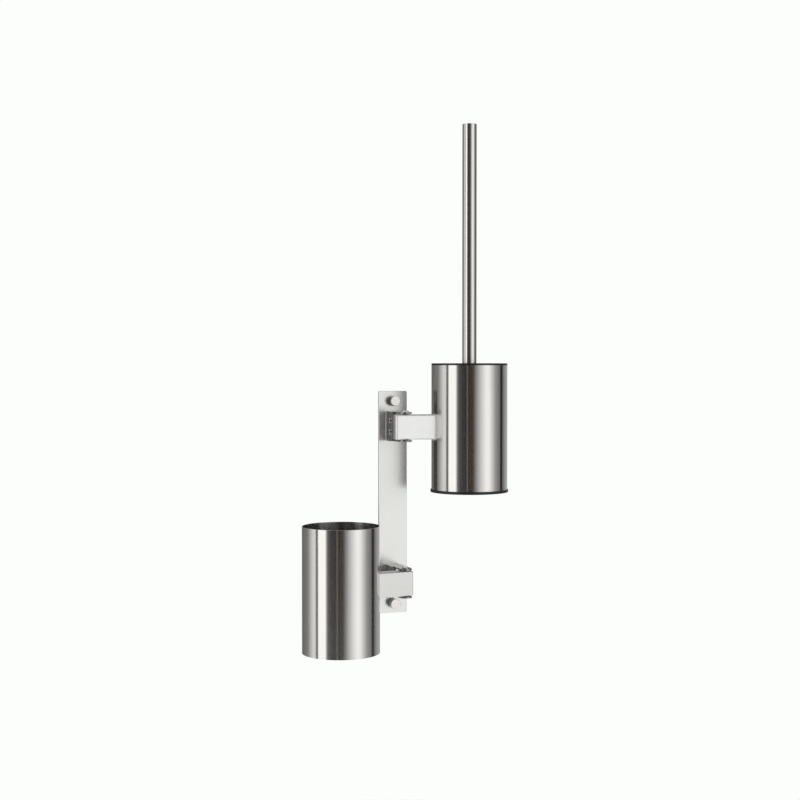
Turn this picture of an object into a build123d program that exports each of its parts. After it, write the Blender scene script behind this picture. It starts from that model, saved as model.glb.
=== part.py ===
from build123d import *
import os
from math import cos, radians, sin

# Wall-mounted toilet brush holder: a back plate with two vertical hinges. The upper swing arm
# carries a steel can with a lidded toilet brush, the lower swing arm carries an open steel cup.
# Millimetres. +X right, -Y away from the wall, +Z up, origin at the centre of the wall face.

# ---- driving dimensions ----
sheet = 2.0  # bent sheet of the hinge parts and arms
plate_width = 38.0
plate_height = 282.0
plate_thickness = 2.5
plate_corner = 2.0
wall_hole_r = 2.5
wall_hole_z = 128.5  # above and below the centre

cap_r = 6.6
cap_length = 8.4
cap_wall = 0.8
seat_flange = 1.5
seat_spigot = 3.5
push_gap = 0.1  # between the cap's bore and the seat's spigot
groove = 0.3  # shadow gap between the seat's flange and the cap

hinge_z = 97.0  # above and below the centre
pivot_reach = 43.0  # from the plate's front face to the pivot axis
clevis_height = 37.0
clevis_end_r = 8.3  # half of the clevis's width, and its rounded nose
clevis_gap = 0.3  # between the clevis and the plate
web_reach = 27.5  # the web stops short of the turning arm's end
foot_edge_x = -18.5
leg_reach = 25.0

screw_r = 2.0
screw_hole_r = 2.15
screw_spacing = 14.0
screw_reach = 17.0  # from the plate's front face
screw_head_r = 3.5
screw_head_height = 2.3
nut_across_flats = 7.0
nut_height = 3.0

pin_r = 2.5
pin_hole_r = 2.55
pin_bore_r = 2.56  # bush bore, a running fit on the pin
pin_head_r = 4.3
pin_head_height = 1.9
rivet_r = 3.9  # closed lower end of the pin, flush in its countersink
rivet_depth = 1.5

arm_height = 31.0
arm_front = 8.0  # from the pivot axis to the arm's front face
arm_back = 6.0
arm_bend_r = 3.0
arm_edge_r = 2.0  # bend between the face and the flanges
bush_hole_r = 3.5
bush_collar_r = 5.5
bush_collar = 0.7
upper_overhang = 14.0  # arm end past the pivot
lower_overhang = 8.0
upper_arm_length = 82.7  # pivot axis to can axis
lower_arm_length = 85.9
can_setback = 2.5  # can axis behind the line through the pivot
upper_swing = 9.0  # degrees forward of the wall, at rest
lower_swing = 4.5

can_r = 47.5
can_wall = 0.8
can_height = 155.0
can_drop = 1.0  # the can's middle below its hinge's middle
cup_height = 154.5
cup_top_z = -22.0
cup_floor_inset = 3.0

base_r = 48.75
base_height = 3.5
base_floor = 2.0
base_spigot_r = 46.4
base_spigot_wall = 2.0
base_spigot_height = 7.5

liner_wall = 1.4
liner_bottom_r = 43.5
liner_top_r = 45.0
liner_height = 143.0
liner_floor = 2.0

lid_thickness = 2.5
lid_skirt_r = 46.2
lid_skirt_wall = 1.8
lid_skirt_depth = 6.0
lid_boss_r = 12.0

handle_r = 9.0
handle_wall = 1.0
handle_length = 298.0
plug_gap = 0.05
end_plug_depth = 8.0
insert_length = 20.0
stud_r = 4.0
stud_hole_r = 4.1
stud_depth = 12.0  # into the stem, and of the stem into the core

stem_r = 6.5
core_r = 12.0
core_height = 66.0
core_top_z = 114.0
bristle_r = 37.0
bristle_top_z = 108.0
bristle_bottom_z = 32.0

# ---- places worked out from the driving dimensions ----
front_y = -plate_thickness
pivot_y = front_y - pivot_reach
screw_y = front_y - screw_reach
can_bottom_z = hinge_z - can_drop - can_height / 2
can_top_z = can_bottom_z + can_height
base_bottom_z = can_bottom_z - base_height
base_floor_z = base_bottom_z + base_floor
lid_top_z = can_top_z + lid_thickness
boss_bottom_z = can_top_z - lid_skirt_depth
handle_top_z = lid_top_z + handle_length
cup_bottom_z = cup_top_z - cup_height
web_x = -clevis_end_r
leg_x = web_x - sheet


def arm_plane(z, swing, side):
    """Plane through the pivot, its x towards the can. side is 1 on the right and -1 on the left."""
    along = (side * cos(radians(swing)), -sin(radians(swing)), 0)
    return Plane(origin=(0, pivot_y, z), x_dir=along, z_dir=(0, 0, 1))


def can_axis(plane, side, length):
    """Point on the can's axis at the arm's middle height."""
    return plane.from_local_coords(Vector(length, side * can_setback, 0))


def finish(part, name):
    """Label one piece and write its STEP file."""
    part.label = name
    export_step(part, f"parts/{name}.step")


upper_plane = arm_plane(hinge_z, upper_swing, 1)
lower_plane = arm_plane(-hinge_z, lower_swing, -1)
can_centre = can_axis(upper_plane, 1, upper_arm_length)
cup_centre = can_axis(lower_plane, -1, lower_arm_length)
print("can axis", round(can_centre.X, 2), round(can_centre.Y, 2))
print("cup axis", round(cup_centre.X, 2), round(cup_centre.Y, 2))

# ---- back plate: flat bar with rounded corners and two wall screw holes ----
with BuildPart() as back_plate:
    with BuildSketch(Plane.XZ):
        RectangleRounded(plate_width, plate_height, plate_corner)
        with GridLocations(0, 2 * wall_hole_z, 1, 2):
            Circle(wall_hole_r, mode=Mode.SUBTRACT)
    extrude(amount=plate_thickness)
    chamfer(back_plate.faces().sort_by(Axis.Y)[0].outer_wire().edges(), 0.3)
finish(back_plate.part, "back_plate")

# ---- wall screw covers: a seat under each screw head and a push-on cap ----
for place, z in (("upper", wall_hole_z), ("lower", -wall_hole_z)):
    seat_plane = Plane(origin=(0, front_y, z), z_dir=(0, -1, 0))
    spigot_r = cap_r - cap_wall - push_gap
    with BuildPart() as cap_seat:
        with BuildSketch(seat_plane):
            Circle(cap_r)
        extrude(amount=seat_flange)
        with BuildSketch(seat_plane.offset(seat_flange)):
            Circle(spigot_r)
        extrude(amount=seat_spigot)
        with BuildSketch(seat_plane):
            Circle(wall_hole_r + 0.3)
        extrude(amount=seat_flange + seat_spigot, mode=Mode.SUBTRACT)
        with BuildSketch(seat_plane.offset(seat_flange)):
            Circle(spigot_r - 1.0)
        extrude(amount=seat_spigot, mode=Mode.SUBTRACT)
    finish(cap_seat.part, f"{place}_cap_seat")

    cap_plane = seat_plane.offset(seat_flange + groove)
    with BuildPart() as screw_cap:
        with BuildSketch(cap_plane):
            Circle(cap_r)
        extrude(amount=cap_length)
        fillet(screw_cap.faces().sort_by(Axis.Y)[0].edges(), 0.7)
        with BuildSketch(cap_plane):
            Circle(cap_r - cap_wall)
        extrude(amount=cap_length - cap_wall, mode=Mode.SUBTRACT)
    finish(screw_cap.part, f"{place}_screw_cap")

# ---- fixed half of each hinge ----
for place, z in (("upper", hinge_z), ("lower", -hinge_z)):
    bottom = z - clevis_height / 2

    # mounting angle: the foot is welded to the plate, the leg carries the clevis
    with BuildPart() as mounting_angle:
        with BuildSketch(Plane.XY.offset(bottom)):
            with BuildLine():
                Polyline(
                    (foot_edge_x, front_y),
                    (web_x, front_y),
                    (web_x, front_y - leg_reach),
                    (leg_x, front_y - leg_reach),
                    (leg_x, front_y - sheet),
                    (foot_edge_x, front_y - sheet),
                    close=True,
                )
            make_face()
        extrude(amount=clevis_height)
        bends = mounting_angle.edges().filter_by(Axis.Z)
        fillet(bends.filter_by(lambda e: abs(e.center().X - web_x) < 0.1).sort_by(Axis.Y)[-1], sheet + 0.8)
        bends = mounting_angle.edges().filter_by(Axis.Z)
        inner = bends.filter_by(lambda e: abs(e.center().X - leg_x) < 0.1).sort_by(Axis.Y)[-1]
        fillet(inner, 0.8)
        with BuildSketch(Plane(origin=(leg_x, screw_y, z), z_dir=(1, 0, 0), x_dir=(0, 1, 0))):
            with GridLocations(0, screw_spacing, 1, 2):
                Circle(screw_hole_r)
        extrude(amount=sheet, mode=Mode.SUBTRACT)
    finish(mounting_angle.part, f"{place}_mounting_angle")

    # clevis: a web with a flange above and below that reach forward to the pivot
    with BuildPart() as clevis:
        back_y = front_y - clevis_gap
        for level in (bottom, bottom + clevis_height - sheet):
            with BuildSketch(Plane.XY.offset(level)):
                with Locations((0, (back_y + pivot_y) / 2)):
                    Rectangle(2 * clevis_end_r, back_y - pivot_y)
                with Locations((0, pivot_y)):
                    Circle(clevis_end_r)
                    Circle(pin_hole_r, mode=Mode.SUBTRACT)
            extrude(amount=sheet)
        with BuildSketch(Plane.XY.offset(bottom)):
            with Locations((web_x + sheet / 2, back_y - web_reach / 2 + clevis_gap / 2)):
                Rectangle(sheet, web_reach - clevis_gap)
        extrude(amount=clevis_height)
        rims = clevis.edges().filter_by(Axis.Y).group_by(Axis.X)[0]
        fillet([rims.sort_by(Axis.Z)[0], rims.sort_by(Axis.Z)[-1]], 1.0)
        with BuildSketch(Plane(origin=(web_x, screw_y, z), z_dir=(1, 0, 0), x_dir=(0, 1, 0))):
            with GridLocations(0, screw_spacing, 1, 2):
                Circle(screw_hole_r)
        extrude(amount=sheet, mode=Mode.SUBTRACT)
        with Locations((0, pivot_y, bottom + rivet_depth / 2)):
            Cone(rivet_r + 0.1, pin_hole_r, rivet_depth, mode=Mode.SUBTRACT)
    finish(clevis.part, f"{place}_clevis")

    # two pan-head screws with crossed slots, through the leg and the web
    with BuildPart() as clevis_screws:
        head_plane = Plane(origin=(leg_x, screw_y, z), z_dir=(-1, 0, 0), x_dir=(0, 1, 0))
        with BuildSketch(head_plane):
            with GridLocations(0, screw_spacing, 1, 2):
                Circle(screw_head_r)
        extrude(amount=screw_head_height)
        fillet(clevis_screws.faces().group_by(Axis.X)[0].edges(), 1.3)
        with BuildSketch(head_plane.offset(screw_head_height)):
            with GridLocations(0, screw_spacing, 1, 2):
                Rectangle(3.6, 0.9)
                Rectangle(0.9, 3.6)
        extrude(amount=-1.2, mode=Mode.SUBTRACT)
        with BuildSketch(head_plane):
            with GridLocations(0, screw_spacing, 1, 2):
                Circle(screw_r)
        extrude(amount=-(2 * sheet + nut_height + 1.0))
    finish(clevis_screws.part, f"{place}_clevis_screws")

    with BuildPart() as clevis_nuts:
        nut_plane = Plane(origin=(web_x + sheet, screw_y, z), z_dir=(1, 0, 0), x_dir=(0, 1, 0))
        with BuildSketch(nut_plane):
            with GridLocations(0, screw_spacing, 1, 2):
                RegularPolygon(nut_across_flats / 2, 6, major_radius=False)
                Circle(screw_r + 0.05, mode=Mode.SUBTRACT)
        extrude(amount=nut_height)
    finish(clevis_nuts.part, f"{place}_clevis_nuts")

    # pivot pin: a low domed head on top, closed flush in the countersink below
    pin_top = z + clevis_height / 2
    with BuildPart() as pivot_pin:
        with BuildSketch(Plane(origin=(0, pivot_y, pin_top))):
            Circle(pin_head_r)
        extrude(amount=pin_head_height)
        fillet(pivot_pin.edges().group_by(Axis.Z)[-1], pin_head_height - 0.5)
        with BuildSketch(Plane(origin=(0, pivot_y, bottom))):
            Circle(pin_r)
        extrude(amount=clevis_height)
        with Locations((0, pivot_y, bottom + rivet_depth / 2)):
            Cone(rivet_r, pin_r, rivet_depth)
    finish(pivot_pin.part, f"{place}_pivot_pin")

# ---- swing arms: a channel open at the back, its hinge end closed, its far end coped to the can ----
arms = (
    ("upper", upper_plane, 1, upper_overhang, upper_arm_length, can_centre),
    ("lower", lower_plane, -1, lower_overhang, lower_arm_length, cup_centre),
)
for place, plane, side, overhang, length, centre in arms:
    front = -side * arm_front
    back = side * arm_back
    along = Axis(plane.origin, plane.x_dir)
    forward = Axis(plane.origin, plane.y_dir * -side)
    with BuildPart() as arm:
        with BuildSketch(plane.offset(-arm_height / 2)):
            with Locations(((length - overhang) / 2, (front + back) / 2)):
                Rectangle(length + overhang, arm_front + arm_back)
        extrude(amount=arm_height)
        hinge_end = arm.edges().filter_by(Axis.Z).group_by(along)[0]
        fillet(hinge_end.sort_by(forward)[-1], arm_bend_r)
        front_rims = arm.faces().sort_by(forward)[-1].edges().filter_by(along)
        fillet(front_rims, arm_edge_r)
        with BuildSketch(plane.offset(-arm_height / 2 + sheet)):
            with BuildLine():
                FilletPolyline(
                    (length, front + side * sheet),
                    (sheet - overhang, front + side * sheet),
                    (sheet - overhang, back + side),
                    radius=arm_bend_r - sheet,
                )
                Polyline(
                    (sheet - overhang, back + side),
                    (length, back + side),
                    (length, front + side * sheet),
                )
            make_face()
        extrude(amount=arm_height - 2 * sheet, mode=Mode.SUBTRACT)
        with BuildSketch(plane.offset(-arm_height / 2)):
            Circle(bush_hole_r)
        extrude(amount=arm_height, mode=Mode.SUBTRACT)
        with BuildSketch(Plane.XY.offset(centre.Z - arm_height / 2)):
            with Locations((centre.X, centre.Y)):
                Circle(can_r)
        extrude(amount=arm_height, mode=Mode.SUBTRACT)
    finish(arm.part, f"{place}_arm")

    # flanged nylon bushes, one in each flange of the arm
    with BuildPart() as bushes:
        for end in (1, -1):
            with BuildSketch(plane.offset(end * arm_height / 2)):
                Circle(bush_collar_r)
                Circle(pin_bore_r, mode=Mode.SUBTRACT)
            extrude(amount=end * bush_collar)
            with BuildSketch(plane.offset(end * arm_height / 2)):
                Circle(bush_hole_r - 0.02)
                Circle(pin_bore_r, mode=Mode.SUBTRACT)
            extrude(amount=-end * (sheet + 0.3))
    finish(bushes.part, f"{place}_arm_bushes")

# ---- lower cup: a rolled steel wall with a dished floor let in above its bottom edge ----
cup_foot = Plane(origin=(cup_centre.X, cup_centre.Y, cup_bottom_z))
with BuildPart() as cup_wall:
    with BuildSketch(cup_foot):
        Circle(can_r)
        Circle(can_r - can_wall, mode=Mode.SUBTRACT)
    extrude(amount=cup_height)
    fillet(cup_wall.edges().group_by(Axis.Z)[-1], 0.3)
finish(cup_wall.part, "cup_wall")

with BuildPart() as cup_floor:
    with BuildSketch(cup_foot):
        Circle(can_r - can_wall)
    extrude(amount=cup_floor_inset + can_wall)
    with BuildSketch(cup_foot):
        Circle(can_r - 2 * can_wall)
    extrude(amount=cup_floor_inset, mode=Mode.SUBTRACT)
    fillet(cup_floor.edges().group_by(Axis.Z)[-1], 0.6)
finish(cup_floor.part, "cup_floor")

# ---- upper can: steel wall, black base with a floor, lift-out inner liner ----
can_origin = Plane(origin=(can_centre.X, can_centre.Y, 0))
can_section = Plane(origin=(can_centre.X, can_centre.Y, 0), x_dir=(1, 0, 0), z_dir=(0, -1, 0))
can_line = Axis((can_centre.X, can_centre.Y, 0), (0, 0, 1))
with BuildPart() as brush_can:
    with BuildSketch(can_origin.offset(can_bottom_z)):
        Circle(can_r)
        Circle(can_r - can_wall, mode=Mode.SUBTRACT)
    extrude(amount=can_height)
finish(brush_can.part, "brush_can")

with BuildPart() as can_base:
    with BuildSketch(can_origin.offset(base_bottom_z)):
        Circle(base_r)
    extrude(amount=base_height)
    fillet(can_base.edges().group_by(Axis.Z)[-1], 0.8)
    fillet(can_base.edges().group_by(Axis.Z)[0], 0.8)
    with BuildSketch(can_origin.offset(can_bottom_z)):
        Circle(base_spigot_r)
    extrude(amount=base_spigot_height)
    with BuildSketch(can_origin.offset(base_floor_z)):
        Circle(base_spigot_r - base_spigot_wall)
    extrude(amount=base_height - base_floor + base_spigot_height, mode=Mode.SUBTRACT)
finish(can_base.part, "can_base")

with BuildPart() as can_liner:
    with BuildSketch(can_section):
        with BuildLine():
            Polyline(
                (0, base_floor_z),
                (liner_bottom_r, base_floor_z),
                (liner_top_r, base_floor_z + liner_height),
                (liner_top_r - liner_wall, base_floor_z + liner_height),
                (liner_bottom_r - liner_wall, base_floor_z + liner_floor),
                (0, base_floor_z + liner_floor),
                close=True,
            )
        make_face()
    revolve(axis=can_line)
    fillet(can_liner.edges().group_by(Axis.Z)[0], 1.5)
finish(can_liner.part, "can_liner")

# ---- brush: lid, handle and head, all on the can's axis ----
with BuildPart() as lid:
    with BuildSketch(can_origin.offset(can_top_z)):
        Circle(can_r)
    extrude(amount=lid_thickness)
    fillet(lid.edges().group_by(Axis.Z)[-1], 0.7)
    with BuildSketch(can_origin.offset(boss_bottom_z)):
        Circle(lid_skirt_r)
        Circle(lid_skirt_r - lid_skirt_wall, mode=Mode.SUBTRACT)
        Circle(lid_boss_r)
    extrude(amount=lid_skirt_depth)
    with BuildSketch(can_origin.offset(boss_bottom_z)):
        Circle(stud_hole_r)
    extrude(amount=lid_skirt_depth + lid_thickness, mode=Mode.SUBTRACT)
finish(lid.part, "lid")

with BuildPart() as handle_tube:
    with BuildSketch(can_origin.offset(lid_top_z)):
        Circle(handle_r)
        Circle(handle_r - handle_wall, mode=Mode.SUBTRACT)
    extrude(amount=handle_length)
    fillet(handle_tube.edges().group_by(Axis.Z)[-1].sort_by(SortBy.RADIUS)[-1], 0.4)
finish(handle_tube.part, "handle_tube")

plug_r = handle_r - handle_wall - plug_gap
with BuildPart() as handle_end_plug:
    with BuildSketch(can_origin.offset(handle_top_z - end_plug_depth)):
        Circle(plug_r)
    extrude(amount=end_plug_depth - 0.2)
    chamfer(handle_end_plug.edges().group_by(Axis.Z)[-1], 0.3)
finish(handle_end_plug.part, "handle_end_plug")

with BuildPart() as handle_stud:
    with BuildSketch(can_origin.offset(lid_top_z)):
        Circle(plug_r)
    extrude(amount=insert_length)
    chamfer(handle_stud.edges().group_by(Axis.Z)[-1], 1.0)
    with BuildSketch(can_origin.offset(boss_bottom_z - stud_depth)):
        Circle(stud_r)
    extrude(amount=lid_top_z - boss_bottom_z + stud_depth)
finish(handle_stud.part, "handle_stud")

with BuildPart() as brush_stem:
    with BuildSketch(can_origin.offset(core_top_z)):
        Circle(stem_r)
    extrude(amount=boss_bottom_z - core_top_z)
    chamfer(brush_stem.edges().group_by(Axis.Z)[-1], 0.8)
    with BuildSketch(can_origin.offset(core_top_z - stud_depth)):
        Circle(stud_r)
    extrude(amount=stud_depth)
    with BuildSketch(can_origin.offset(boss_bottom_z)):
        Circle(stud_hole_r)
    extrude(amount=-(stud_depth + 1.0), mode=Mode.SUBTRACT)
finish(brush_stem.part, "brush_stem")

core_bottom_z = core_top_z - core_height
with BuildPart() as brush_core:
    with BuildSketch(can_origin.offset(core_bottom_z)):
        Circle(core_r)
    extrude(amount=core_height)
    chamfer(brush_core.edges().group_by(Axis.Z)[-1], 2.5)
    with BuildSketch(can_origin.offset(core_top_z)):
        Circle(stud_hole_r)
    extrude(amount=-(stud_depth + 1.0), mode=Mode.SUBTRACT)
finish(brush_core.part, "brush_core")

# the tufts as one closed body round the core, domed below
with BuildPart() as bristles:
    with BuildSketch(can_section):
        with BuildLine():
            Line((core_r, bristle_top_z), (bristle_r - 3, bristle_top_z))
            RadiusArc((bristle_r - 3, bristle_top_z), (bristle_r, bristle_top_z - 3), 3)
            Line((bristle_r, bristle_top_z - 3), (bristle_r, bristle_bottom_z + 18))
            RadiusArc((bristle_r, bristle_bottom_z + 18), (bristle_r - 18, bristle_bottom_z), 18)
            Line((bristle_r - 18, bristle_bottom_z), (0, bristle_bottom_z))
            Line((0, bristle_bottom_z), (0, core_bottom_z))
            Line((0, core_bottom_z), (core_r, core_bottom_z))
            Line((core_r, core_bottom_z), (core_r, bristle_top_z))
        make_face()
    revolve(axis=can_line)
finish(bristles.part, "bristles")
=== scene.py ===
# %% [markdown]
# # Wall-mounted toilet brush holder
# A flat steel bar carries two hinges. The upper arm holds the can with the brush, the lower arm
# holds an open cup. The imported model already has every metal and plastic piece at its real size,
# so this lesson gives each piece its finish, grows real bristles, adds the weld beads, and sets up
# a small studio.
# We start by loading the fixed model and keeping its box.

# %% Load the fixed model
import math
import random

import bmesh
import bpy
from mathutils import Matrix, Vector


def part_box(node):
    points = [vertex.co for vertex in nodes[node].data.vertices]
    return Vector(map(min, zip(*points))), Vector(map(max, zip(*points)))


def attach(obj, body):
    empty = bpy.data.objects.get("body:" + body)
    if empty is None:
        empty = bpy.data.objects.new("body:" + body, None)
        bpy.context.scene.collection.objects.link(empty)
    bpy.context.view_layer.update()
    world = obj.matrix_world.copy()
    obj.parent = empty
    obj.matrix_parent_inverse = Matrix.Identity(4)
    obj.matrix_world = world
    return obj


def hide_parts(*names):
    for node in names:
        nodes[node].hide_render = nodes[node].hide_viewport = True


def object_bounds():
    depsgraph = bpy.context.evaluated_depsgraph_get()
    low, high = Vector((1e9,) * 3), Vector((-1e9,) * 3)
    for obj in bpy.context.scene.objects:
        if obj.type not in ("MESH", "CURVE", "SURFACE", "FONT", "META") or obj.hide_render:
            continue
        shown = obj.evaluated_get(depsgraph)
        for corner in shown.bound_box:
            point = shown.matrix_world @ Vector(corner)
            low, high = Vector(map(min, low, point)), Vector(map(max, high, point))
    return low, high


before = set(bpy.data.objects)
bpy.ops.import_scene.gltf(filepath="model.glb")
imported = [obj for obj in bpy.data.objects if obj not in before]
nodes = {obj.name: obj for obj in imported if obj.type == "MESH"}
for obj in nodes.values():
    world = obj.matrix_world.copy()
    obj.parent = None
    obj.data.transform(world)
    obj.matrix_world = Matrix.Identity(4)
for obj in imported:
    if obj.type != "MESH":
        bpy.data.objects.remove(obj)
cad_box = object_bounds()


def middle(node):
    """Centre of a node's box."""
    low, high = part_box(node)
    return (low + high) / 2


can_middle = middle("brush_can")
cup_middle = middle("cup_wall")
print("can axis", [round(v, 4) for v in can_middle], "cup axis", [round(v, 4) for v in cup_middle])

# %% [markdown]
# ## Camera
# The holder hangs on a wall, and a person standing a little to its left looks at it, with the eye
# level with the can's lid. A camera can be aimed with a Track To constraint, but turning the view
# direction into a rotation once is simpler and leaves nothing behind that moves. A 64 mm lens
# from 1.8 m keeps the perspective mild, as a product picture has it.

# %% Camera
EYE_AZIMUTH = math.radians(-20.9)
EYE_DISTANCE = 1.807
EYE_HEIGHT = 0.172
AIM = Vector((0.0106, 0.0, 0.1294))
LENS = 64.1

camera_data = bpy.data.cameras.new("studio_camera")
camera_data.lens = LENS
camera = bpy.data.objects.new("studio_camera", camera_data)
bpy.context.collection.objects.link(camera)
camera.location = (
    math.sin(EYE_AZIMUTH) * EYE_DISTANCE,
    -math.cos(EYE_AZIMUTH) * EYE_DISTANCE,
    EYE_HEIGHT,
)
camera.rotation_euler = (AIM - camera.location).to_track_quat("-Z", "Y").to_euler()
bpy.context.scene.camera = camera
print("camera at", [round(v, 3) for v in camera.location])

# %% [markdown]
# ## Studio ring
# Polished round metal shows nothing but its surroundings, so the surroundings are the look. In a
# studio, white panels and black flags stand in a ring, and each one becomes an upright stripe on
# the cans. Real panels could be modelled, but a ring painted into the world is free of noise and
# easy to tune. Each line below is one place in the ring: its direction in degrees (0 is straight
# out from the wall, positive to the right), how bright a plain steel can looks there, from 0 to 1
# as a screen shows it, and what stands there.

# %% Studio ring
RING = (
    (-180, 0.35, "grey room behind the wall"),
    (-134, 0.46, "grey room"),
    (-124, 0.62, "edge of the far left panel"),
    (-108, 0.81, "far left panel"),
    (-99, 0.80, "far left panel"),
    (-97, 0.36, "gap between the left panels"),
    (-91, 0.36, "gap between the left panels"),
    (-89, 0.97, "bright left panel"),
    (-66, 0.97, "bright left panel"),
    (-61, 0.49, "its right edge"),
    (-56, 0.30, "black flag beside the camera"),
    (-46, 0.21, "black flag"),
    (-32, 0.16, "black flag"),
    (-30, 0.46, "thin gap at the flag's edge"),
    (-28, 0.16, "brown stand beside the flag"),
    (-13, 0.20, "brown stand"),
    (-7, 0.40, "left edge of the front window"),
    (8, 0.71, "front window"),
    (20, 0.85, "front window"),
    (30, 0.93, "brightest part of the window"),
    (39, 0.91, "front window"),
    (50, 0.76, "front window falling off"),
    (62, 0.57, "front window falling off"),
    (78, 0.42, "right wall"),
    (81, 0.47, "thin bright edge"),
    (84, 0.20, "black flag on the right"),
    (92, 0.10, "black flag on the right"),
    (98, 0.37, "its edge"),
    (108, 0.51, "right wall"),
    (130, 0.61, "right wall"),
    (180, 0.35, "grey room behind the wall"),
)
BROWN_PLACES = (-28, -13)
BROWN = (1.28, 1.0, 0.72)
WHITE = (1.0, 1.0, 0.985)
STEEL = 0.62  # how much of the light plain brushed steel gives back


def linear(screen):
    """Light value of a screen brightness."""
    if screen <= 0.04045:
        return screen / 12.92
    return ((screen + 0.055) / 1.055) ** 2.4


print("a mid grey of 0.5 on a screen is", round(linear(0.5), 3), "of full light")

# %% [markdown]
# The world's nodes turn the direction a ray leaves in into a place on a colour ramp. The angle
# round the vertical comes from an arctangent of x and y, and half a turn is added so that the
# ramp's middle is straight out from the wall.

# %% Ring in the world
world = bpy.data.worlds.new("studio")
bpy.context.scene.world = world
world.use_nodes = True
tree = world.node_tree
tree.nodes.clear()


def add(kind, **values):
    """One world node with its settings."""
    node = tree.nodes.new(kind)
    for name, value in values.items():
        setattr(node, name, value)
    return node


def math_node(operation, first, second=None):
    """One world maths node."""
    node = add("ShaderNodeMath", operation=operation)
    for slot, value in enumerate((first, second)):
        if value is None:
            continue
        if isinstance(value, bpy.types.NodeSocket):
            tree.links.new(value, node.inputs[slot])
        else:
            node.inputs[slot].default_value = value
    return node.outputs[0]


direction = add("ShaderNodeTexCoord").outputs["Generated"]
split = add("ShaderNodeSeparateXYZ")
tree.links.new(direction, split.inputs[0])
turn = math_node("ARCTAN2", split.outputs["X"], math_node("MULTIPLY", split.outputs["Y"], -1.0))
place = math_node("ADD", math_node("DIVIDE", turn, 2 * math.pi), 0.5)

ramp = add("ShaderNodeValToRGB")
tree.links.new(place, ramp.inputs[0])
stops = ramp.color_ramp.elements
while len(stops) > 1:
    stops.remove(stops[-1])
for count, (degrees, brightness, _) in enumerate(RING):
    stop = stops[0] if count == 0 else stops.new(degrees / 360 + 0.5)
    light = linear(brightness) / STEEL
    tint = BROWN if degrees in BROWN_PLACES else WHITE
    stop.color = (light * tint[0], light * tint[1], light * tint[2], 1.0)
print("studio ring:", len(stops), "stops")

# %% [markdown]
# The ring only matters near eye level. High up the room turns into one broad soft ceiling light,
# so the two are mixed by height. What the camera sees directly is plain white paper, which the
# Light Path node separates from what the metal sees.

# %% Ceiling and paper
CEILING_STARTS = 0.5  # upward part of the direction, 0 level and 1 straight up
CEILING_FULL = 0.9
CEILING = (0.5, 0.5, 0.5, 1.0)
PAPER = (0.974, 0.991, 0.974, 1.0)

height = add("ShaderNodeMapRange")
height.interpolation_type = "SMOOTHSTEP"
height.inputs["From Min"].default_value = CEILING_STARTS
height.inputs["From Max"].default_value = CEILING_FULL
tree.links.new(split.outputs["Z"], height.inputs["Value"])

ceiling = add("ShaderNodeMix", data_type="RGBA")
tree.links.new(height.outputs[0], ceiling.inputs["Factor"])
tree.links.new(ramp.outputs["Color"], ceiling.inputs["A"])
ceiling.inputs["B"].default_value = CEILING

room = add("ShaderNodeBackground")
tree.links.new(ceiling.outputs["Result"], room.inputs["Color"])
paper = add("ShaderNodeBackground")
paper.inputs["Color"].default_value = PAPER
seen = add("ShaderNodeLightPath").outputs["Is Camera Ray"]
choose = add("ShaderNodeMixShader")
tree.links.new(seen, choose.inputs["Fac"])
tree.links.new(room.outputs[0], choose.inputs[1])
tree.links.new(paper.outputs[0], choose.inputs[2])
output = add("ShaderNodeOutputWorld")
tree.links.new(choose.outputs[0], output.inputs["Surface"])

view = bpy.context.scene.view_settings
view.view_transform = "Standard"
view.look = "None"
print("view transform:", view.view_transform)

# %% [markdown]
# ## Floor
# The floor is a plain pale sheet a metre below the holder, because the real one hangs on a wall.
# A disc looks the same from every side, where a square would show its corners. It glows a little,
# so that it stays nearly as pale as the paper behind it.

# %% Floor
FLOOR_DROP = 1.0
FLOOR_RADIUS = 2.6
FLOOR_SIDES = 96
FLOOR_GLOW = 0.32


def node_material(name):
    """A new material with its shader, ready for more nodes."""
    material = bpy.data.materials.new(name)
    material.use_nodes = True
    return material, material.node_tree, material.node_tree.nodes["Principled BSDF"]


floor_mesh = bpy.data.meshes.new("floor")
build = bmesh.new()
bmesh.ops.create_circle(build, cap_ends=True, segments=FLOOR_SIDES, radius=FLOOR_RADIUS)
build.to_mesh(floor_mesh)
build.free()
floor = bpy.data.objects.new("floor", floor_mesh)
floor.location.z = cad_box[0][2] - FLOOR_DROP
bpy.context.collection.objects.link(floor)
paint, _, paint_shader = node_material("pale_floor")
paint_shader.inputs["Base Color"].default_value = (0.93, 0.93, 0.92, 1.0)
paint_shader.inputs["Roughness"].default_value = 0.9
paint_shader.inputs["Emission Color"].default_value = (1.0, 1.0, 1.0, 1.0)
paint_shader.inputs["Emission Strength"].default_value = FLOOR_GLOW
floor_mesh.materials.append(paint)
print("floor at", round(floor.location.z, 3))

# %% [markdown]
# ## Lamps
# The ring gives most of the light. Four soft lamps help it, each linked to the pieces it serves,
# so that none of them draws a stripe on the round cans. A large one overhead lights the floor, the
# brush and the screws and pins, and leaves the top edges of the arms dark. The small ones serve one
# arm each: one lifts the upper arm's face, and two lift the rounded pivot ends of the arms, which
# would otherwise mirror the black flags as a dark line.

# %% Lamps


def soft_lamp(name, place, aim, size, power):
    """A square area lamp that points at a place."""
    data = bpy.data.lights.new(name, "AREA")
    data.size = size
    data.energy = power
    lamp = bpy.data.objects.new(name, data)
    bpy.context.collection.objects.link(lamp)
    lamp.location = place
    lamp.rotation_euler = (Vector(aim) - Vector(place)).to_track_quat("-Z", "Y").to_euler()
    return lamp


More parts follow.
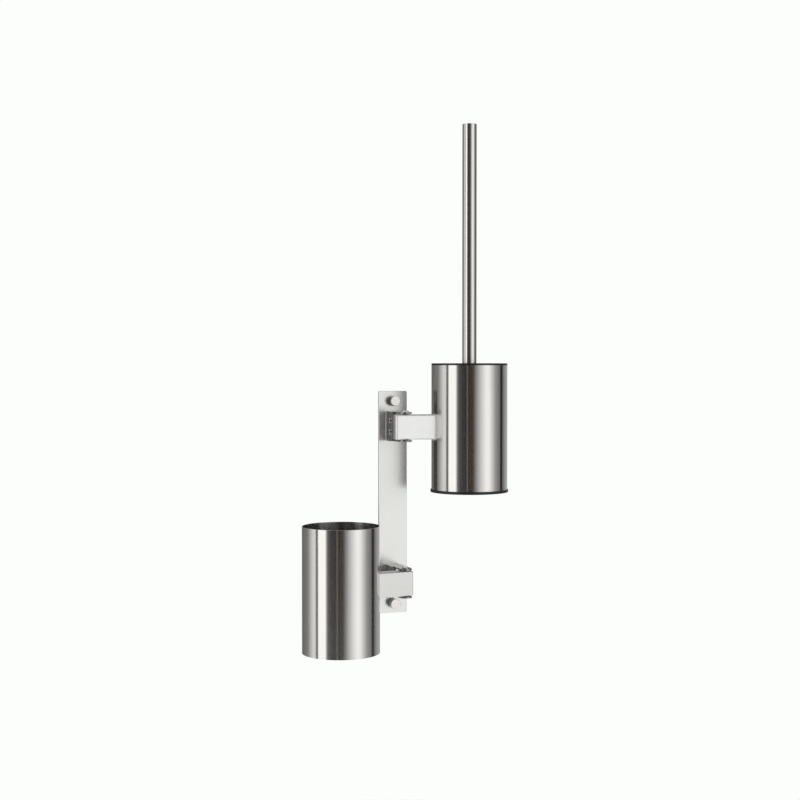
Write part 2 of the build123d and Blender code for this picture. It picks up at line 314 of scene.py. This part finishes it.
def only(lamp, *pieces):
    """Let a lamp light nothing but these pieces."""
    lit = bpy.data.collections.new(f"lit_by_{lamp.name}")
    for piece in pieces:
        lit.objects.link(piece)
    lamp.light_linking.receiver_collection = lit
    return lit


# name, place, aim, side in metres, power in watts
ceiling_light = soft_lamp("ceiling_light", (0.0, 0.4, 3.2), (0.0, 0.4, -1.0), 5.0, 55.0)
arm_light = soft_lamp("arm_light", (0.14, -2.4, 0.12), (0.04, -0.05, 0.097), 1.3, 4.5)
upper_end_light = soft_lamp("upper_end_light", (-1.5, -1.7, 0.1), (0.0, -0.05, 0.097), 1.2, 4.0)
lower_end_light = soft_lamp("lower_end_light", (1.9, -0.7, -0.05), (0.05, -0.04, -0.086), 1.2, 4.0)

small_pieces = [nodes["brush_stem"], nodes["brush_core"]]
for level in ("upper", "lower"):
    for kind in ("clevis_screws", "clevis_nuts", "pivot_pin"):
        small_pieces.append(nodes[f"{level}_{kind}"])
lit_above = only(ceiling_light, floor, *small_pieces)
lit_upper = only(arm_light, nodes["upper_arm"])
only(upper_end_light, nodes["upper_arm"])
only(lower_end_light, nodes["lower_arm"])
print("lamps:", len(bpy.data.lights), "small pieces lit from above:", len(small_pieces))

# %% [markdown]
# ## Streaks and relief
# Brushed metal and moulded plastic both need a noise that sits still on its piece. Generated
# coordinates would stretch it with the piece's box, so object coordinates are used, which are in
# metres. A mapping squeezes the noise hard in one direction to make streaks of it, and three small
# helpers turn its grey into a range, a colour or a relief.

# %% Streaks and relief
NOISE_LOW = 0.3  # most of a noise lies between these two
NOISE_HIGH = 0.7


def link(tree, source, target):
    """Shorthand for one link."""
    tree.links.new(source, target)


def streaks(tree, scale, detail=4.0):
    """Noise on the piece's own coordinates, squeezed by scale along x, y and z."""
    place = tree.nodes.new("ShaderNodeTexCoord")
    squeeze = tree.nodes.new("ShaderNodeMapping")
    squeeze.inputs["Scale"].default_value = scale
    noise = tree.nodes.new("ShaderNodeTexNoise")
    noise.inputs["Scale"].default_value = 1.0
    noise.inputs["Detail"].default_value = detail
    noise.inputs["Roughness"].default_value = 0.6
    link(tree, place.outputs["Object"], squeeze.inputs["Vector"])
    link(tree, squeeze.outputs["Vector"], noise.inputs["Vector"])
    return noise.outputs["Fac"]


def span(tree, value, low, high):
    """Stretch the middle of a noise to run from low to high."""
    node = tree.nodes.new("ShaderNodeMapRange")
    node.inputs["From Min"].default_value = NOISE_LOW
    node.inputs["From Max"].default_value = NOISE_HIGH
    node.inputs["To Min"].default_value = low
    node.inputs["To Max"].default_value = high
    link(tree, value, node.inputs["Value"])
    return node.outputs["Result"]


def two_tones(tree, factor, dark, light):
    """Colour between dark and light."""
    node = tree.nodes.new("ShaderNodeMix")
    node.data_type = "RGBA"
    node.inputs["A"].default_value = (*dark, 1.0)
    node.inputs["B"].default_value = (*light, 1.0)
    link(tree, factor, node.inputs["Factor"])
    return node.outputs["Result"]


def bump(tree, shader, value, strength, distance):
    """Fine relief from a noise."""
    node = tree.nodes.new("ShaderNodeBump")
    node.inputs["Strength"].default_value = strength
    node.inputs["Distance"].default_value = distance
    link(tree, value, node.inputs["Height"])
    link(tree, node.outputs["Normal"], shader.inputs["Normal"])


print("a noise is stretched between", NOISE_LOW, "and", NOISE_HIGH)

# %% [markdown]
# ## Brushed steel
# Brushed steel is made by dragging grit along the metal. The grooves are too fine to model, and
# they do two things: they stretch every reflection across themselves, and they leave faint streaks.
# The first is the shader's anisotropy, the second the squeezed noise, which drives a little colour,
# roughness and bump. One function makes every steel of this object, and each piece says which way
# it was brushed.

# %% Brushed steel
CLOUDS = (9.0, 9.0, 9.0)  # slow change over a piece, like faint finger marks
STREAK_SHARE = 0.6
CLOUD_SHARE = 0.4
GLOSS_CHANGE = 0.12
GROOVE_DEPTH = 0.00004


def brushed_steel(name, colour, rough, grain, anisotropy=0.0, relief=0.1, spread=0.05):
    """Steel with streaks. grain squeezes the noise, anisotropy stretches reflections."""
    material, tree, shader = node_material(name)
    shader.inputs["Metallic"].default_value = 1.0
    fine = streaks(tree, grain)
    cloud = streaks(tree, CLOUDS, 3.0)
    blend = tree.nodes.new("ShaderNodeMath")
    blend.operation = "MULTIPLY_ADD"
    blend.inputs[1].default_value = STREAK_SHARE
    link(tree, fine, blend.inputs[0])
    link(tree, span(tree, cloud, 0.0, CLOUD_SHARE), blend.inputs[2])
    dark = tuple(c * (1.0 - spread) for c in colour)
    light = tuple(min(1.0, c * (1.0 + spread)) for c in colour)
    link(tree, two_tones(tree, blend.outputs[0], dark, light), shader.inputs["Base Color"])
    duller = rough * (1.0 + GLOSS_CHANGE)
    glossier = rough * (1.0 - GLOSS_CHANGE)
    link(tree, span(tree, fine, glossier, duller), shader.inputs["Roughness"])
    if anisotropy:
        shader.inputs["Anisotropic"].default_value = anisotropy
        shader.inputs["Anisotropic Rotation"].default_value = 0.25
        around = tree.nodes.new("ShaderNodeTangent")
        around.direction_type = "RADIAL"
        around.axis = "Z"
        link(tree, around.outputs["Tangent"], shader.inputs["Tangent"])
    bump(tree, shader, fine, relief, GROOVE_DEPTH)
    return material


AROUND = (14.0, 14.0, 2600.0)  # streaks that run round an upright can
UPRIGHT = (2600.0, 2600.0, 9.0)  # streaks that run up and down
can_steel = brushed_steel("can_steel", (0.63, 0.62, 0.605), 0.15, AROUND, 0.93, 0.05)
handle_steel = brushed_steel("handle_steel", (0.64, 0.63, 0.615), 0.16, AROUND, 0.9, 0.04)
# The two arms are one steel in two tones: the upper arm's is painted lighter, painted light, and the
# lower arm's darker, painted shade, each matched to how its arm is lit.
upper_arm_painted_light_steel = brushed_steel("upper_arm_painted_light_steel", (0.78, 0.78, 0.77), 0.40, AROUND, relief=0.05)
lower_arm_painted_shade_steel = brushed_steel("lower_arm_painted_shade_steel", (0.71, 0.71, 0.70), 0.46, AROUND, relief=0.05)
plate_steel = brushed_steel("plate_steel", (0.70, 0.70, 0.69), 0.25, UPRIGHT)
angle_steel = brushed_steel("angle_steel", (0.62, 0.62, 0.61), 1.0, UPRIGHT, relief=0.03)
# The clevis is the same steel painted dark: painted shade for the arm's shadow inside the hinge and
# the gaps around it.
clevis_painted_shade_steel = brushed_steel("clevis_painted_shade_steel", (0.35, 0.35, 0.345), 0.24, UPRIGHT, relief=0.05)
print("brushed steels:", sum(1 for material in bpy.data.materials if material.name.endswith("steel")))

# %% [markdown]
# ## Heat-dulled foot
# A mounting angle stands on the plate with its foot, which is duller than its leg, as steel near a
# weld often is. Two materials would leave a hard edge between them, so one shader does both. It
# knows where it is from the piece's own coordinates: y falls from the wall outwards, so a Map Range
# on y blends one roughness into the other, and the streaks multiply what comes out.

# %% Heat-dulled foot
DULL_ROUGHNESS = 0.42
LEG_ROUGHNESS = 0.17
SHEET = 0.002  # thickness of the bent hinge parts
BLEND_START = 0.001  # in front of the foot
BLEND_END = 0.006
foot_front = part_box("back_plate")[0].y - SHEET


def dull_the_foot(material):
    """Blend the roughness from the foot to the leg."""
    tree = material.node_tree
    shader = tree.nodes["Principled BSDF"]
    streaked = shader.inputs["Roughness"].links[0].from_socket
    place = tree.nodes.new("ShaderNodeTexCoord")
    split = tree.nodes.new("ShaderNodeSeparateXYZ")
    link(tree, place.outputs["Object"], split.inputs[0])
    depth = tree.nodes.new("ShaderNodeMapRange")
    depth.inputs["From Min"].default_value = foot_front - BLEND_START
    depth.inputs["From Max"].default_value = foot_front - BLEND_END
    depth.inputs["To Min"].default_value = DULL_ROUGHNESS
    depth.inputs["To Max"].default_value = LEG_ROUGHNESS
    link(tree, split.outputs["Y"], depth.inputs["Value"])
    both = tree.nodes.new("ShaderNodeMath")
    both.operation = "MULTIPLY"
    link(tree, depth.outputs["Result"], both.inputs[0])
    link(tree, streaked, both.inputs[1])
    link(tree, both.outputs[0], shader.inputs["Roughness"])


dull_the_foot(angle_steel)
print("foot front at y", round(foot_front, 4))

# %% [markdown]
# ## Small metal and plastics
# Screws and pins are turned steel with no brushing. The pins and nuts are bright, and the clevis
# screws are painted dark, painted shade for the shadow inside the hinge. The caps are satin nickel,
# warmer than steel. The lid and base are black moulded plastic with a faint grain, the liner a duller
# black, and the brush's core and stem plain white.

# %% Small metal and plastics
PLASTIC_CLOUDS = (30.0, 30.0, 30.0)
GLOSS_SPREAD = 0.15
DARKER = 0.85
LIGHTER = 1.12
LIFT = 0.002  # keeps the lighter tone of a black plastic off pure black
GRAIN_DEPTH = 0.00005


def plastic(name, colour, rough, grain=1400.0, relief=0.12):
    """Moulded plastic with a fine grain and slightly uneven gloss."""
    material, tree, shader = node_material(name)
    fine = streaks(tree, (grain, grain, grain), 2.0)
    cloud = streaks(tree, PLASTIC_CLOUDS, 3.0)
    dark = tuple(c * DARKER for c in colour)
    light = tuple(min(1.0, c * LIGHTER + LIFT) for c in colour)
    link(tree, two_tones(tree, cloud, dark, light), shader.inputs["Base Color"])
    duller = rough * (1.0 + GLOSS_SPREAD)
    glossier = rough * (1.0 - GLOSS_SPREAD)
    link(tree, span(tree, cloud, glossier, duller), shader.inputs["Roughness"])
    bump(tree, shader, fine, relief, GRAIN_DEPTH)
    return material


TURNED = (700.0, 700.0, 700.0)  # the same in every direction
SATIN = (500.0, 20.0, 500.0)  # streaks from a cap's face towards the wall
fastener_steel = brushed_steel("fastener_steel", (0.66, 0.65, 0.62), 0.22, TURNED, 0.0, 0.08, 0.08)
# The clevis screws' steel is painted dark: painted shade for the shadow inside the hinge.
screw_painted_shade_steel = brushed_steel("screw_painted_shade_steel", (0.36, 0.35, 0.34), 0.30, TURNED, 0.0, 0.08, 0.08)
cap_steel = brushed_steel("cap_steel", (0.71, 0.695, 0.65), 0.22, SATIN, 0.0, 0.04)
black_plastic = plastic("black_plastic", (0.008, 0.008, 0.009), 0.45)
liner_plastic = plastic("liner_plastic", (0.05, 0.05, 0.055), 0.5)
seat_plastic = plastic("seat_plastic", (0.09, 0.09, 0.09), 0.5)
nylon = plastic("nylon", (0.78, 0.77, 0.73), 0.45)
stem_plastic = plastic("stem_plastic", (0.83, 0.83, 0.82), 0.35, 900.0)
print("materials:", len(bpy.data.materials))

# %% [markdown]
# ## Dress the pieces
# A piece of the fixed model keeps its mesh and only gets a new finish in its material slots. One
# table says which piece gets which finish. Both hinges have the same pieces, so a second table
# serves the upper and the lower one. Only the plain bristles are left out, because real ones follow.

# %% Dress the pieces
finishes = {
    "back_plate": plate_steel,
    "upper_arm": upper_arm_painted_light_steel,
    "lower_arm": lower_arm_painted_shade_steel,
    "brush_can": can_steel,
    "cup_wall": can_steel,
    "cup_floor": can_steel,
    "lid": black_plastic,
    "can_base": black_plastic,
    "can_liner": liner_plastic,
    "handle_tube": handle_steel,
    "handle_end_plug": handle_steel,
    "handle_stud": fastener_steel,
    "brush_stem": stem_plastic,
    "brush_core": stem_plastic,
}
hinge_finishes = {
    "mounting_angle": angle_steel,
    "clevis": clevis_painted_shade_steel,
    "clevis_screws": screw_painted_shade_steel,
    "clevis_nuts": fastener_steel,
    "pivot_pin": fastener_steel,
    "screw_cap": cap_steel,
    "cap_seat": seat_plastic,
    "arm_bushes": nylon,
}
for level in ("upper", "lower"):
    for kind, material in hinge_finishes.items():
        finishes[f"{level}_{kind}"] = material
for node, material in finishes.items():
    mesh = nodes[node].data
    mesh.materials.clear()
    mesh.materials.append(material)
print("dressed:", len(finishes), "still plain:", sorted(set(nodes) - set(finishes)))

# %% [markdown]
# ## Bristles
# The fixed model holds the bristles as one plain lump, enough for weight and contact. A real brush
# head has tufts: bundles of nylon filaments folded into holes that climb round the core in rows.
# Hair particles would look right but leave no mesh of their own, so each filament is built as a
# thin tapered rod of four sides, closed at both ends. Random lean and length keep it from looking
# combed, and a fixed seed gives the same brush each time.

# %% One filament
ROD_RADIUS = 0.00034
TIP_RADIUS = 0.00022
ROD_SIDES = 4
SEED = 7
bristle_low, bristle_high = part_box("bristles")
core_low, core_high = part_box("brush_core")
axis = middle("brush_core")
core_radius = (core_high.x - core_low.x) / 2
brush_radius = (bristle_high.x - bristle_low.x) / 2
shuffle = random.Random(SEED)
rods = bmesh.new()


def rod(root, tip):
    """One closed tapered filament from root to tip."""
    along = (tip - root).normalized()
    side = along.orthogonal().normalized()
    other = along.cross(side)
    rings = []
    for point, radius in ((root, ROD_RADIUS), (tip, TIP_RADIUS)):
        ring = []
        for step in range(ROD_SIDES):
            angle = 2 * math.pi * step / ROD_SIDES
            offset = side * math.cos(angle) + other * math.sin(angle)
            ring.append(rods.verts.new(point + offset * radius))
        rings.append(ring)
    for step in range(ROD_SIDES):
        after = (step + 1) % ROD_SIDES
        rods.faces.new((rings[0][step], rings[0][after], rings[1][after], rings[1][step]))
    rods.faces.new(rings[0][::-1])
    rods.faces.new(rings[1])


print("radius in mm: brush", round(brush_radius * 1000, 1), "core", round(core_radius * 1000, 1))

# %% [markdown]
# The side tufts stand in rows, each row turned by half a tuft against the one below, as drilled
# cores have them. A tuft starts as a tight bundle in its hole and opens towards the tips.

# %% Side tufts
ROWS = 11
TUFTS = 16
FILAMENTS = 15
ROOT_DEPTH = 0.0015  # filaments start this far inside the core
EDGE = 0.0012  # filaments stop this far inside the lump
RAGGED = 0.0025  # how unevenly the tips are trimmed
BUNDLE = 0.0009
OPENING_UP = 0.0042
OPENING_SIDE = 0.005
END_ROWS = 0.004  # from the lowest row to the core's end
side_low = core_low.z + END_ROWS
side_high = bristle_high.z - OPENING_UP - EDGE
for row in range(ROWS):
    height = side_low + (side_high - side_low) * row / (ROWS - 1)
    for tuft in range(TUFTS):
        turn = 2 * math.pi * (tuft + 0.5 * (row % 2)) / TUFTS
        outward = Vector((math.cos(turn), math.sin(turn), 0.0))
        sideways = Vector((-outward.y, outward.x, 0.0))
        hole = Vector((axis.x, axis.y, height))
        for filament in range(FILAMENTS):
            up = shuffle.uniform(-1, 1)
            aside = shuffle.uniform(-1, 1)
            reach = brush_radius - EDGE - shuffle.uniform(0.0, RAGGED)
            foot = hole + outward * (core_radius - ROOT_DEPTH) + sideways * aside * BUNDLE
            foot.z += up * BUNDLE
            tip = hole + outward * reach + sideways * aside * OPENING_SIDE
            tip.z += up * OPENING_UP
            rod(foot, tip)
side_count = len(rods.faces) // (ROD_SIDES + 2)
print("side filaments:", side_count)

# %% [markdown]
# The domed end has its own tufts that fan out downwards, so the brush reaches into the bowl. They
# stand in rings. A ring's share runs from 0 in the middle to 1 at the shoulder, and the filaments
# end on a bowl shape that rises with the share squared.

# %% Domed end
DOME_RINGS = ((0.0, 1), (0.2, 5), (0.4, 9), (0.6, 13), (0.8, 16), (1.0, 20))  # share, tufts
DOME_RISE = 0.014  # from the dome's lowest point to its shoulder
DOME_WIDTH = 0.95  # of the brush's radius
DOME_ROOTS = 0.85  # of the core's radius
DOME_TWIST = 0.16  # how far a filament turns aside, in radians
DOME_SPREAD = 0.1
DOME_RAGGED = 0.0022
ROOT_SPREAD = 0.001
dome_root = core_low.z + ROOT_DEPTH
for share, count in DOME_RINGS:
    for tuft in range(count):
        turn = 2 * math.pi * (tuft + share) / count
        outward = Vector((math.cos(turn), math.sin(turn), 0.0))
        root = Vector((axis.x, axis.y, dome_root)) + outward * core_radius * DOME_ROOTS * share
        for filament in range(FILAMENTS):
            twist = turn + shuffle.uniform(-DOME_TWIST, DOME_TWIST)
            flat = Vector((math.cos(twist), math.sin(twist), 0.0))
            wide = share + shuffle.uniform(-DOME_SPREAD, DOME_SPREAD) * (1.2 - share)
            reach = (brush_radius - EDGE) * DOME_WIDTH * wide
            bowl = bristle_low.z + EDGE + DOME_RISE * share * share
            low = bowl + shuffle.uniform(0.0, DOME_RAGGED)
            foot = root + flat * shuffle.uniform(0, ROOT_SPREAD)
            rod(foot, Vector((axis.x, axis.y, low)) + flat * reach)
print("end filaments:", len(rods.faces) // (ROD_SIDES + 2) - side_count)

# %% [markdown]
# All filaments become one mesh. It rides on the brush's body, so it lifts out with the handle, and
# it takes the place of the plain lump.

# %% One brush of bristles
bmesh.ops.recalc_face_normals(rods, faces=rods.faces)
tuft_mesh = bpy.data.meshes.new("bristle_tufts")
rods.to_mesh(tuft_mesh)
rods.free()
tufts = bpy.data.objects.new("bristle_tufts", tuft_mesh)
bpy.context.collection.objects.link(tufts)
bristle_nylon = plastic("bristle_nylon", (0.88, 0.88, 0.86), 0.42, 600.0, 0.05)
tuft_mesh.materials.append(bristle_nylon)
lit_above.objects.link(tufts)
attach(tufts, "brush")
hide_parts("bristles")
print("bristle faces:", len(tuft_mesh.polygons))

# %% [markdown]
# ## Weld beads
# Each arm is welded to its can along the top, the front and the bottom of its end. A bead is a row
# of small overlapping puddles. A curve with a round bevel would give a smooth worm, so the bead is
# swept in mesh code instead: rings of points follow the arm's outline on the can's round wall, and
# the ring radius swells and shrinks once per puddle.

# %% Weld beads
ARM_FRONT = 0.008  # from the pivot's line to the arm's front face
ARM_BACK = 0.006
CAN_SETBACK = 0.0025  # can axis behind the pivot's line
ARM_HALF_HEIGHT = 0.0155
ARM_EDGE = 0.002
BEAD_STEP = 0.00026
CORNER_STEPS = 6


def bead_outline():
    """Evenly spaced places on the outline: behind the can's axis, above the arm's middle."""
    front = -(ARM_FRONT + CAN_SETBACK)
    back = ARM_BACK - CAN_SETBACK
    corner = Vector((front + ARM_EDGE, ARM_HALF_HEIGHT - ARM_EDGE))
    points = [Vector((back, ARM_HALF_HEIGHT))]
    for step in range(CORNER_STEPS + 1):
        angle = math.radians(90 + 90 * step / CORNER_STEPS)
        points.append(corner + ARM_EDGE * Vector((math.cos(angle), math.sin(angle))))
    points += [Vector((point.x, -point.y)) for point in reversed(points)]
    even = []
    for start, end in zip(points, points[1:]):
        count = max(1, round((end - start).length / BEAD_STEP))
        even += [start.lerp(end, step / count) for step in range(count)]
    return even + [points[-1]]


def bead_places(level, can, side):
    """Points along one arm's bead on its can's wall, and the can's centre."""
    pivot = middle(f"{level}_pivot_pin")
    centre = middle(can)
    low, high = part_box(can)
    wall = (high.x - low.x) / 2
    reach = (centre - pivot).xy
    heading = math.atan2(reach.y, reach.x) - side * math.asin(CAN_SETBACK / reach.length)
    along = Vector((math.cos(heading), math.sin(heading), 0.0))
    across = Vector((-along.y, along.x, 0.0)) * side
    arm_low, arm_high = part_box(f"{level}_arm")
    arm_middle = Vector((centre.x, centre.y, (arm_low.z + arm_high.z) / 2))
    places = []
    for behind, above in bead_outline():
        out = math.sqrt(wall * wall - behind * behind)
        places.append(arm_middle - along * out + across * behind + Vector((0, 0, above)))
    return places, centre


print("bead length, mm:", round(1000 * BEAD_STEP * len(bead_outline())))

# %% [markdown]
# The sweep walks along those points. At each one it needs three directions: forward along the bead,
# outward from the can, and sideways. The bead is flatter than it is wide, and it thins at its ends.

# %% Rings of a bead
BEAD_RADIUS = 0.0011
BEAD_SIDES = 10
FLATNESS = 0.6
PUDDLE = 0.0013  # length of one puddle
RIPPLE = 0.12  # how much a puddle swells
END_RADIUS = 0.4  # of the full radius, at the bead's very ends
END_GROWTH = 0.15  # added per ring


def bead_rings(bead, places, centre):
    """Rings of points along the places, added to a mesh under construction."""
    rings = []
    gone = 0.0
    for count, place in enumerate(places):
        after = places[min(count + 1, len(places) - 1)]
        before = places[max(count - 1, 0)]
        forward = (after - before).normalized()
        outward = (place - Vector((centre.x, centre.y, place.z))).normalized()
        sideways = forward.cross(outward).normalized()
        upright = sideways.cross(forward).normalized()
        gone += (place - before).length
        ripple = 1.0 + RIPPLE * abs(math.sin(math.pi * gone / PUDDLE))
        ends = min(count, len(places) - 1 - count)
        taper = min(1.0, END_RADIUS + END_GROWTH * ends)
        radius = BEAD_RADIUS * ripple * taper
        ring = []
        for step in range(BEAD_SIDES):
            angle = 2 * math.pi * step / BEAD_SIDES
            offset = sideways * math.cos(angle) + upright * math.sin(angle) * FLATNESS
            ring.append(bead.verts.new(place + offset * radius))
        rings.append(ring)
    return rings


print("full bead, mm wide:", 2000 * BEAD_RADIUS)

# %% [markdown]
# Neighbouring rings are joined by faces and the two ends closed. Each bead rides with its arm. The
# lamp that lifts the upper arm's face has to light its bead too, or the bead would look like a
# darker metal.

# %% Sweep the beads


def weld(level, can, side, body, material):
    """A rippled bead round the end of one arm."""
    places, centre = bead_places(level, can, side)
    bead = bmesh.new()
    rings = bead_rings(bead, places, centre)
    for ring, following in zip(rings, rings[1:]):
        for step in range(BEAD_SIDES):
            after = (step + 1) % BEAD_SIDES
            bead.faces.new((ring[step], ring[after], following[after], following[step]))
    bead.faces.new(rings[0])
    bead.faces.new(rings[-1])
    bmesh.ops.recalc_face_normals(bead, faces=bead.faces)
    for face in bead.faces:
        face.smooth = True
    mesh = bpy.data.meshes.new(f"{level}_arm_weld")
    bead.to_mesh(mesh)
    bead.free()
    mesh.materials.append(material)
    piece = bpy.data.objects.new(f"{level}_arm_weld", mesh)
    bpy.context.collection.objects.link(piece)
    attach(piece, body)
    print(mesh.name, "rings:", len(rings))
    return piece


weld_steel = brushed_steel("weld_steel", (0.78, 0.77, 0.75), 0.34, TURNED, 0.0, 0.1, 0.08)
upper_weld = weld("upper", "brush_can", 1, "upper_swing", weld_steel)
weld("lower", "cup_wall", -1, "lower_swing", weld_steel)
lit_upper.objects.link(upper_weld)
